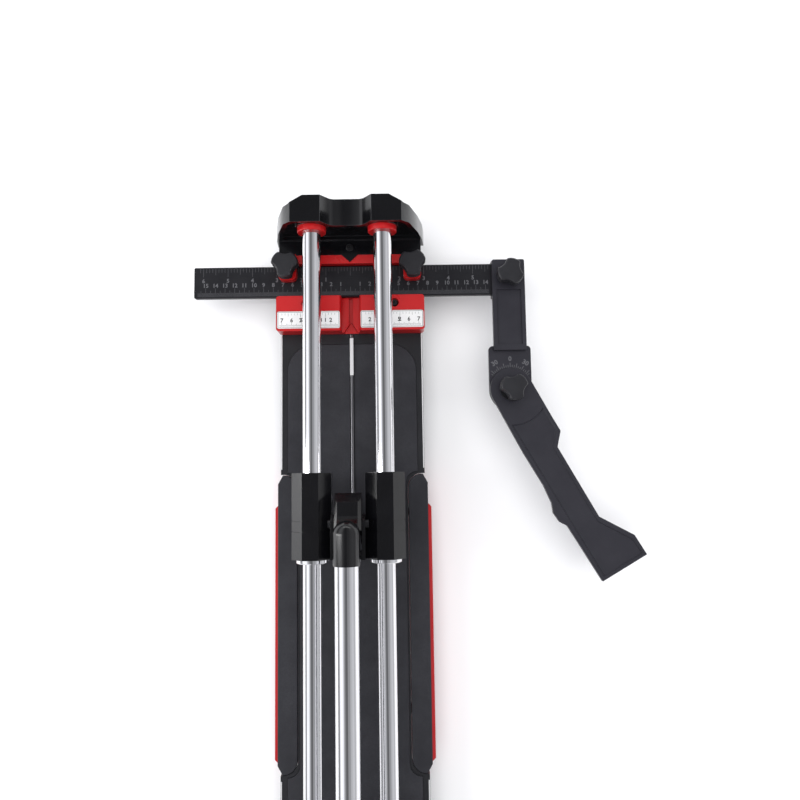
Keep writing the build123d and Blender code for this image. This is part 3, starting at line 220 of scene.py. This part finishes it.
def finish_material(name, colour, worn_colour, gloss, grain_size, grain_depth, patch=0.05, stretch=(1, 1, 1),
                    metallic=0.0, coat=0.0, specular=0.5, speckle=1.0):
    """A surface with grain in its height, patches in its gloss and a second tone in its colour.

    gloss is the lowest and the highest roughness; stretch draws the grain out along an axis.
    """
    material, shader = principled(name)
    nodes, links = material.node_tree.nodes, material.node_tree.links
    shader.inputs["Metallic"].default_value = metallic
    shader.inputs["Specular IOR Level"].default_value = specular
    shader.inputs["Coat Weight"].default_value = coat
    shader.inputs["Coat Roughness"].default_value = 0.12
    place = nodes.new("ShaderNodeTexCoord")
    mapping = nodes.new("ShaderNodeMapping")
    mapping.inputs["Scale"].default_value = stretch
    links.new(place.outputs["Object"], mapping.inputs["Vector"])
    skin = place_group(material, grain, mapping.outputs["Vector"], Size=grain_size, Contrast=speckle)
    patches = place_group(material, handling, place.outputs["Object"], Size=patch, Low=gloss[0], High=gloss[1])
    links.new(patches.outputs["Value"], shader.inputs["Roughness"])
    tone = place_group(material, handling, place.outputs["Object"], Size=patch * 0.6, Low=0.0, High=1.0)
    share = nodes.new("ShaderNodeMath")
    share.operation = "MULTIPLY"
    links.new(tone.outputs["Value"], share.inputs[0])
    links.new(skin.outputs["Mask"], share.inputs[1])
    mix = nodes.new("ShaderNodeMix")
    mix.data_type = "RGBA"
    mix.inputs["A"].default_value = (*colour, 1.0)
    mix.inputs["B"].default_value = (*worn_colour, 1.0)
    links.new(share.outputs[0], mix.inputs["Factor"])
    links.new(mix.outputs["Result"], shader.inputs["Base Color"])
    bump = nodes.new("ShaderNodeBump")
    bump.inputs["Distance"].default_value = grain_depth
    bump.inputs["Strength"].default_value = 1.0
    links.new(skin.outputs["Height"], bump.inputs["Height"])
    links.new(bump.outputs["Normal"], shader.inputs["Normal"])
    return material


def dress(material, *nodes):
    """Give CAD nodes a material in place of their plain one."""
    for node in nodes:
        for material_slot in frame["nodes"][node].material_slots:
            material_slot.material = material


def rounded(node, material, edge, segments=2, angle=28.0, edge_material=None):
    """Stand in for a CAD node with its mesh merged and its sharp edges rounded.

    edge_material is the finish of the rounded edges: glossier, and lighter in colour as a painted highlight.
    """
    form = bmesh.new()
    form.from_mesh(frame["nodes"][node].data)
    bmesh.ops.remove_doubles(form, verts=form.verts, dist=1e-6)
    bmesh.ops.dissolve_limit(form, angle_limit=math.radians(0.5), verts=form.verts, edges=form.edges)
    mesh = bpy.data.meshes.new(node + "_rounded")
    form.to_mesh(mesh)
    form.free()
    piece = bpy.data.objects.new(node + "_rounded", mesh)
    scene.collection.objects.link(piece)
    mesh.materials.clear()
    mesh.materials.append(material)
    mesh.shade_smooth()
    mesh.set_sharp_from_angle(angle=math.radians(angle))
    bevel = piece.modifiers.new("rounding", "BEVEL")
    bevel.width = edge
    bevel.segments = segments
    bevel.limit_method = "ANGLE"
    bevel.angle_limit = math.radians(angle)
    bevel.harden_normals = True
    if edge_material:
        mesh.materials.append(edge_material)
        bevel.material = 1
    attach(piece, body_of[node])
    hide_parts(node)


def add_block(form, centre, size, turn=Matrix()):
    """One small block of a strip or a printed mark, in place."""
    bmesh.ops.create_cube(form, size=1.0, matrix=turn @ Matrix.Translation(centre) @ Matrix.Diagonal((*size, 1.0)))


def new_piece(name, form, material, body):
    """Close a form as one piece that rides on a body."""
    mesh = bpy.data.meshes.new(name)
    form.to_mesh(mesh)
    form.free()
    mesh.materials.append(material)
    piece = bpy.data.objects.new(name, mesh)
    scene.collection.objects.link(piece)
    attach(piece, body)


powder_coat = finish_material("powder_coat", (0.011, 0.011, 0.013), (0.022, 0.022, 0.026), (0.36, 0.48), 0.0005,
                              0.00002, specular=0.4)
mat_rubber = finish_material("mat_rubber", (0.019, 0.019, 0.023), (0.042, 0.042, 0.049), (0.6, 0.78), 0.0011, 0.00008,
                             patch=0.07, specular=0.35)
foot_rubber = finish_material("foot_rubber", (0.009, 0.009, 0.010), (0.02, 0.02, 0.021), (0.6, 0.75), 0.0012, 0.00006,
                              specular=0.3)
bright_steel = finish_material("bright_steel", (0.66, 0.66, 0.68), (0.56, 0.56, 0.58), (0.2, 0.32), 0.0004, 0.000001,
                               stretch=(1, 0.01, 1), metallic=1.0)
# This bright silver is painted light: a painted highlight on the plate's edges and a painted reflection on the breaker
# bar
painted_highlight_silver = finish_material("painted_highlight_silver", (0.86, 0.86, 0.87), (0.80, 0.80, 0.81), (0.5, 0.6), 0.0004, 0.000001,
                               stretch=(1, 0.01, 1), metallic=0.55)
blackened_steel = finish_material("blackened_steel", (0.03, 0.03, 0.033), (0.09, 0.09, 0.095), (0.3, 0.42), 0.0005,
                                  0.000008, metallic=0.8)
dress(powder_coat, "base_plate")

# Painted highlight on the plate's long edges: one bright strip a side, stopping at the bay that a side support lies in
EDGE_WIDTH = 0.0011
EDGE_STEP = 0.0005
EDGE_INSET = 0.0003
BAY_MARGIN = 0.006
plate_low, plate_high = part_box("base_plate")
support_low, support_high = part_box("left_support_frame")
bay_front, bay_back = support_low.y - BAY_MARGIN, support_high.y + BAY_MARGIN
form = bmesh.new()
for side in (-1, 1):
    for y_low, y_high in ((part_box("front_bracket")[1].y, bay_front), (bay_back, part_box("fence")[0].y)):
        centre = (side * (plate_high.x - EDGE_WIDTH / 2 - EDGE_INSET), (y_low + y_high) / 2, plate_high.z)
        add_block(form, centre, (EDGE_WIDTH, y_high - y_low, 2 * EDGE_STEP))
long_edges = [edge for edge in form.edges if edge.calc_length() > 2 * EDGE_WIDTH]
bmesh.ops.bevel(form, geom=long_edges, affect="EDGES", offset=EDGE_STEP * 0.9, segments=4, profile=0.5, material=-1)
new_piece("plate_edge_painted_highlights", form, painted_highlight_silver, "bed")

rounded("left_bed_mat", mat_rubber, 0.0005)
rounded("right_bed_mat", mat_rubber, 0.0005)
dress(powder_coat, "left_beam", "right_beam", "crossmember")

# The breaker bar is drawn steel, its colour darkened as painted shade, with a bright strip at the fence as a painted
# reflection
bar_steel_painted_shade = finish_material("bar_steel_painted_shade", (0.30, 0.30, 0.32), (0.42, 0.42, 0.44), (0.28, 0.4), 0.0004, 0.0000006,
                            stretch=(1, 0.01, 1), metallic=1.0)
dress(bar_steel_painted_shade, "breaker_bar")
STRIP_LENGTH = 0.039
STRIP_WIDTH = 0.0036
STRIP_RISE = 0.00014
STRIP_GAP = 0.005
bar_top, fence_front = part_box("breaker_bar")[1].z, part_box("fence")[0].y
# The strip's bright silver is a painted reflection, not a separate polished piece
form = bmesh.new()
add_block(form, (0.0, fence_front - STRIP_GAP - STRIP_LENGTH / 2, bar_top), (STRIP_WIDTH, STRIP_LENGTH, 2 * STRIP_RISE))
bmesh.ops.bevel(form, geom=form.edges[:], affect="EDGES", offset=STRIP_RISE * 0.7, segments=2, profile=0.5, material=-1)
new_piece("bar_painted_reflection_strip", form, painted_highlight_silver, "bed")

dress(foot_rubber, "centre_foot", "corner_feet")
dress(blackened_steel, "foot_screws", "bracket_screws", "rail_screws", "button_screws")

# ---- Side supports ------------------------------------------------------------------------------
# Each is a red cast frame topped with a rubber pad. It slides out on two steel rods that run
# in the bars below the bed.
red_coat = finish_material("red_coat", (0.40, 0.008, 0.012), (0.48, 0.02, 0.022), (0.28, 0.4), 0.0005, 0.000015,
                           coat=0.15, specular=0.35)
for side in ("left", "right"):
    rounded(side + "_support_frame", red_coat, 0.0008)
    dress(mat_rubber, side + "_support_pad")
    dress(bright_steel, side + "_support_rods")

# ---- End brackets and rails ------------------------------------------------------------------------
# Two gloss black die castings hold the ends of the chromed rails. Red plastic collars close the
# castings round the rails, and a screw in each rail's end pulls it up.
gloss_casting = finish_material("gloss_casting", (0.0025, 0.0025, 0.0033), (0.006, 0.006, 0.0075), (0.14, 0.24), 0.0009,
                                0.000005, coat=0.35, specular=0.4)
# The edge finish's low roughness and coat are real gloss; its lighter colour than the casting's is a painted highlight
glossy_edge_painted_highlight = finish_material("glossy_edge_painted_highlight", (0.012, 0.012, 0.015), (0.05, 0.05, 0.056), (0.08, 0.16), 0.0009,
                                0.000005, coat=1.0, specular=0.9)
chrome_plate = finish_material("chrome_plate", (0.86, 0.86, 0.88), (0.80, 0.80, 0.82), (0.05, 0.11), 0.0006, 0.0000004,
                               stretch=(1, 0.004, 1), metallic=1.0)
red_plastic = finish_material("red_plastic", (0.44, 0.0055, 0.0075), (0.52, 0.014, 0.016), (0.26, 0.38), 0.0006,
                              0.000012, coat=0.15, specular=0.35)
for end in ("rear", "front"):
    rounded(end + "_bracket", gloss_casting, 0.0009, edge_material=glossy_edge_painted_highlight)
    dress(red_plastic, end + "_rail_collars")
for side in ("left", "right"):
    rounded(side + "_rail", chrome_plate, 0.0004)

# ---- Fence and its scales -----------------------------------------------------------------------------
# A red moulding across the bed with a valley for the wheel. White scale plates are glued in two
# pockets; their centimetres and inches count outwards from the cutting line.
rounded("fence", red_plastic, 0.0006)
plate_white = finish_material("plate_white", (0.80, 0.80, 0.80), (0.74, 0.74, 0.75), (0.3, 0.42), 0.0006, 0.000004)
plate_ink = finish_material("plate_ink", (0.010, 0.010, 0.011), (0.02, 0.02, 0.02), (0.5, 0.6), 0.0006, 0.000002)
MARK_HEIGHT = 0.00004
CENTIMETRE = 0.01
INCH = 0.0254
FIGURE_ROOM = 0.0006


def add_tick(form, x, y_span, z, width):
    """One raised line of a scale, across X."""
    centre = (x, sum(y_span) / 2, z + MARK_HEIGHT / 2)
    add_block(form, centre, (width, abs(y_span[1] - y_span[0]), MARK_HEIGHT))


def add_figure(form, text, x, y, z, height, turn=0.0):
    """A printed number, centred at x with its foot at y."""
    curve = bpy.data.curves.new("figure", "FONT")
    curve.body = text
    curve.size = height * 1.4
    curve.offset = height * 0.035
    curve.align_x = "CENTER"
    curve.extrude = MARK_HEIGHT / 2
    curve.resolution_u = 2
    holder = bpy.data.objects.new("figure", curve)
    scene.collection.objects.link(holder)
    bpy.context.view_layer.update()
    mesh = bpy.data.meshes.new_from_object(holder.evaluated_get(bpy.context.evaluated_depsgraph_get()))
    bpy.data.objects.remove(holder)
    bpy.data.curves.remove(curve)
    mesh.transform(Matrix.Translation((x, y, z + MARK_HEIGHT / 2)) @ Matrix.Rotation(turn, 4, "Z"))
    form.from_mesh(mesh)
    bpy.data.meshes.remove(mesh)


def add_scale(form, x_span, near, far, z, size):
    """Centimetres along the near edge and inches along the far edge, counted from x = 0.

    size holds the tick's width and the figures' height.
    """
    width, figure = size
    depth = far - near
    for step in range(math.ceil(x_span[0] * 1000), math.floor(x_span[1] * 1000) + 1):
        share = 0.30 if step % 10 == 0 else 0.22 if step % 5 == 0 else 0.14
        add_tick(form, step / 1000, (near, near + depth * share), z, width)
        if step % 10 == 0 and step and x_span[0] + FIGURE_ROOM < step / 1000 < x_span[1] - FIGURE_ROOM:
            add_figure(form, str(abs(step) // 10), step / 1000, near + depth * 0.33, z, figure)
    for step in range(math.ceil(x_span[0] / INCH * 8), math.floor(x_span[1] / INCH * 8) + 1):
        share = 0.30 if step % 8 == 0 else 0.22 if step % 4 == 0 else 0.14
        add_tick(form, step * INCH / 8, (far - depth * share, far), z, width)
        if step % 8 == 0 and step and x_span[0] + FIGURE_ROOM < step * INCH / 8 < x_span[1] - FIGURE_ROOM:
            add_figure(form, str(abs(step) // 8), step * INCH / 8, far - depth * 0.36 - figure, z, figure)


def add_border(form, low, high, z, inset, width):
    """A printed line round a plate, inset from its edges."""
    for x_span, y_span in (((low.x, high.x), (low.y, low.y + width)), ((low.x, high.x), (high.y - width, high.y)),
                           ((low.x, low.x + width), (low.y, high.y)), ((high.x - width, high.x), (low.y, high.y))):
        x_span = [min(max(x, low.x + inset), high.x - inset) for x in x_span]
        y_span = [min(max(y, low.y + inset), high.y - inset) for y in y_span]
        x_size, y_size = max(x_span[1] - x_span[0], width), max(y_span[1] - y_span[0], width)
        centre = (sum(x_span) / 2, sum(y_span) / 2, z + MARK_HEIGHT / 2)
        add_block(form, centre, (x_size, y_size, MARK_HEIGHT))


for side in ("left", "right"):
    plate_low, plate_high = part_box(side + "_scale_plate")
    dress(plate_white, side + "_scale_plate")
    marks = bmesh.new()
    add_border(marks, plate_low, plate_high, plate_high.z, 0.0009, 0.00035)
    add_scale(marks, (plate_low.x + 0.0022, plate_high.x - 0.0022), plate_low.y + 0.002, plate_high.y - 0.002,
              plate_high.z, (0.00024, 0.0042))
    new_piece(side + "_scale_marks", marks, plate_ink, "bed")

# ---- Ruler, its keeper, pointer and clamping knobs -----------------------------------------------------
# The black anodised ruler slides across behind the fence, under two lugs of the red keeper. A
# knob in each lug presses on it. A black pointer on the rear bracket's foot shows the cutting line.
anodised = finish_material("anodised", (0.010, 0.010, 0.0125), (0.022, 0.022, 0.026), (0.34, 0.46), 0.0004, 0.000006,
                           stretch=(0.04, 1, 1), metallic=0.2, specular=0.35)
engraving = finish_material("engraving", (0.09, 0.09, 0.10), (0.15, 0.15, 0.16), (0.5, 0.6), 0.0006, 0.000002)
knob_plastic = finish_material("knob_plastic", (0.012, 0.012, 0.0145), (0.026, 0.026, 0.030), (0.34, 0.46), 0.0008,
                               0.00002, specular=0.45)
rounded("ruler_keeper", red_plastic, 0.0007)
rounded("pointer", gloss_casting, 0.0003)
rounded("ruler_bar", anodised, 0.0004)
ruler_low, ruler_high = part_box("ruler_bar")
marks = bmesh.new()
add_scale(marks, (ruler_low.x + 0.004, ruler_high.x - 0.036), ruler_low.y + 0.0015, ruler_high.y - 0.0015,
          ruler_high.z, (0.00022, 0.0042))
new_piece("ruler_marks", marks, engraving, "ruler")
for knob in ("left_ruler_knob", "right_ruler_knob", "arm_knob", "angle_knob"):
    rounded(knob, knob_plastic, 0.0007)

# ---- Carriage -------------------------------------------------------------------------------------------
# Two gloss black barrels slide on the rails in plastic bushes closed by chromed rings. A cast
# bridge joins them and carries the pivot pin and the rubber bumper for the lever.
arm_plastic = finish_material("arm_plastic", (0.018, 0.0175, 0.0235), (0.030, 0.029, 0.037), (0.36, 0.48), 0.0006,
                              0.00001, specular=0.4)
for side in ("left", "right"):
    rounded(side + "_housing", gloss_casting, 0.0007, edge_material=glossy_edge_painted_highlight)
    dress(arm_plastic, side + "_bushes")
rounded("end_rings", chrome_plate, 0.0003)
rounded("carriage_bridge", gloss_casting, 0.0005)
dress(blackened_steel, "bridge_screws", "pivot_pin")
dress(foot_rubber, "bumper")

# ---- Lever and handle --------------------------------------------------------------------------------------
# A cast hub turns on the pivot pin. Its socket takes the chromed handle tube, which ends in a
# ribbed rubber grip; the steel wheel holder is tongued into it from below.
grip_rubber = finish_material("grip_rubber", (0.009, 0.009, 0.0105), (0.02, 0.02, 0.023), (0.5, 0.65), 0.0009, 0.00005,
                              specular=0.4)
rounded("lever_hub", gloss_casting, 0.0008, edge_material=glossy_edge_painted_highlight)
rounded("handle_tube", chrome_plate, 0.0003)
dress(grip_rubber, "handle_grip", "handle_cap")
dress(blackened_steel, "socket_screw", "holder_screw")
rounded("wheel_holder", blackened_steel, 0.0003)

# ---- Scoring wheel and breaker foot --------------------------------------------------------------------------
# The hard metal wheel turns on its axle in the holder's slot. The breaker foot hangs behind it
# on a pin and presses both sides of the score through two rubber pads.
hard_metal = finish_material("hard_metal", (0.45, 0.45, 0.47), (0.36, 0.36, 0.38), (0.2, 0.3), 0.0003, 0.000003,
                             metallic=1.0)
dress(hard_metal, "scoring_wheel")
dress(bright_steel, "wheel_axle", "foot_pin")
rounded("breaker_foot", powder_coat, 0.0004)
dress(foot_rubber, "breaker_pads")

# ---- Angle arm --------------------------------------------------------------------------------------------------
# A moulded link clamps on the ruler's end. The blade turns on the protractor head at its other
# end and is locked by a knob; ticks on the head show the angle.
rounded("arm_link", arm_plastic, 0.0006)
dress(arm_plastic, "arm_keeper")
rounded("angle_blade", arm_plastic, 0.0008)
dress(blackened_steel, "pivot_washer")

# Raised ticks fan out over the head, one every five degrees from straight ahead
HEAD_TICKS = (0.0228, 0.0252, 0.0275)
HEAD_TICK_WIDTH = 0.00055
HEAD_STEP = 0.0003
FIGURE_RING = 0.0295
pivot_low, pivot_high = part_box("pivot_washer")
pivot = (pivot_low + pivot_high) / 2
head_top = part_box("angle_blade")[0].z - HEAD_STEP
marks = bmesh.new()
for degrees in range(-50, 51, 5):
    turn = Matrix.Translation((pivot.x, pivot.y, head_top)) @ Matrix.Rotation(math.radians(-degrees), 4, "Z")
    reach = HEAD_TICKS[2] if degrees % 15 == 0 else HEAD_TICKS[1]
    centre = (0, (HEAD_TICKS[0] + reach) / 2, MARK_HEIGHT * 1.5)
    add_block(marks, centre, (HEAD_TICK_WIDTH, reach - HEAD_TICKS[0], MARK_HEIGHT * 3), turn)
for degrees in (-30, 0, 30):
    angle = math.radians(degrees)
    add_figure(marks, str(abs(degrees)), pivot.x + FIGURE_RING * math.sin(angle),
               pivot.y + FIGURE_RING * math.cos(angle), head_top, 0.0048, turn=-angle)
new_piece("protractor_marks", marks, engraving, "arm")
